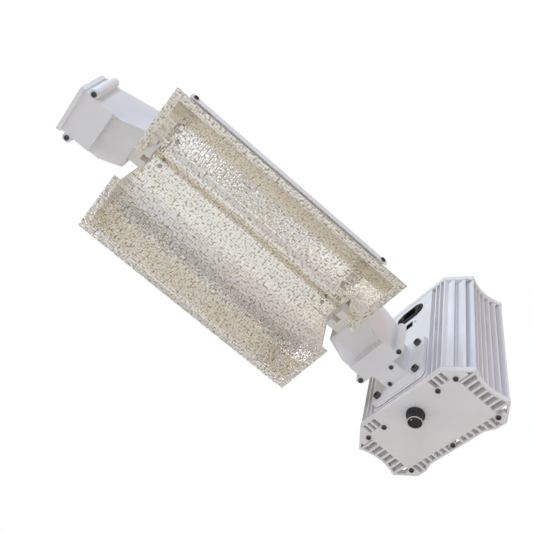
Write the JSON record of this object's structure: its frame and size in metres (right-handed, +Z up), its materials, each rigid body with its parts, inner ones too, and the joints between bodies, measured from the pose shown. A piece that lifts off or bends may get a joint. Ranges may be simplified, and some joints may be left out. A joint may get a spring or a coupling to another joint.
{
  "type": "grow lamp",
  "caption": "Double-ended horticultural grow lamp fixture: open hammered reflector between two socket housings, finned ballast with dimmer at one end",
  "frame": {"origin": "centre of the hanging hole over the ballast", "axes": "+X along the lamp from the free end to the ballast, +Z up; light leaves towards -Z"},
  "size_m": [0.6557, 0.24, 0.273],
  "materials": {
    "white_paint": "powder coated",
    "hammered_aluminium": "hammered",
    "bare_aluminium": "mill finish",
    "dark_screw": "blackened",
    "zinc_steel": "zinc plated",
    "ceramic": "matte",
    "brass": "satin",
    "black_plastic": "satin",
    "knob_plastic": "satin",
    "trim_silver": "polished",
    "lead_sleeve": "matte",
    "gasket": "matte",
    "circuit_board": "satin",
    "ferrite": "matte",
    "winding": "satin",
    "capacitor_sleeve": "gloss",
    "green_lens": "gloss"
  },
  "bodies": {
    "root": {"reflector_trough": "hammered_aluminium", "reflector_end_free": "hammered_aluminium", "reflector_end_ballast": "hammered_aluminium", "reflector_rivets": "bare_aluminium", "cross_strap_free": "bare_aluminium", "cross_strap_ballast": "bare_aluminium", "strap_spacers": "bare_aluminium", "reflector_screws": "zinc_steel", "canopy": "white_paint", "canopy_screws": "dark_screw", "spine": "bare_aluminium", "spine_screws": "dark_screw", "socket_housing_free": "white_paint", "socket_housing_ballast": "white_paint", "housing_cover_free": "white_paint", "housing_cover_ballast": "white_paint", "housing_cover_screws": "dark_screw", "end_plate": "white_paint", "end_plate_screws": "dark_screw", "lampholder_free": "ceramic", "lampholder_ballast": "ceramic", "lampholder_screws": "zinc_steel", "lamp_lead_free": "lead_sleeve", "lamp_lead_ballast": "lead_sleeve", "neck_bracket": "white_paint", "neck_cover": "white_paint", "neck_cover_screws": "dark_screw", "neck_screws": "dark_screw", "flange_gasket": "gasket", "flange_bolts": "dark_screw", "heat_sink": "white_paint", "cooling_fins": "white_paint", "lower_end_cap": "white_paint", "upper_end_cap": "white_paint", "lower_cap_gasket": "gasket", "upper_cap_gasket": "gasket", "end_cap_screws": "dark_screw", "dimmer_switch": "black_plastic", "dimmer_nut": "zinc_steel", "mains_inlet": "black_plastic", "inlet_pins": "brass", "inlet_screws": "dark_screw", "control_port": "black_plastic", "status_lamp": "green_lens", "circuit_board": "circuit_board", "board_standoffs": "zinc_steel", "transformer_core": "ferrite", "transformer_winding": "winding", "capacitors": "capacitor_sleeve", "heat_spreader": "bare_aluminium", "hanger_free": "zinc_steel", "hanger_ballast": "zinc_steel", "hanger_screws": "dark_screw"},
    "dimmer": {"dimmer_knob": "knob_plastic", "knob_trim_ring": "trim_silver", "dimmer_spindle": "zinc_steel"},
    "contact_free": {"contact_plunger_free": "brass", "contact_spring_free": "zinc_steel"},
    "contact_ballast": {"contact_plunger_ballast": "brass", "contact_spring_ballast": "zinc_steel"}
  },
  "joints": [
    {"name": "dimmer_turn", "type": "hinge", "parent": "root", "child": "dimmer", "pos_m": [-0.026, 0, -0.246], "axis": [0, 0, -1], "range_deg": [0, 270]},
    {"name": "contact_free_slide", "type": "slide", "parent": "root", "child": "contact_free", "axis": [-1, 0, 0], "range_m": [0, 0.0025], "stiffness_N_per_m": 1500},
    {"name": "contact_ballast_slide", "type": "slide", "parent": "root", "child": "contact_ballast", "axis": [1, 0, 0], "range_m": [0, 0.0025], "stiffness_N_per_m": 1500}
  ]
}
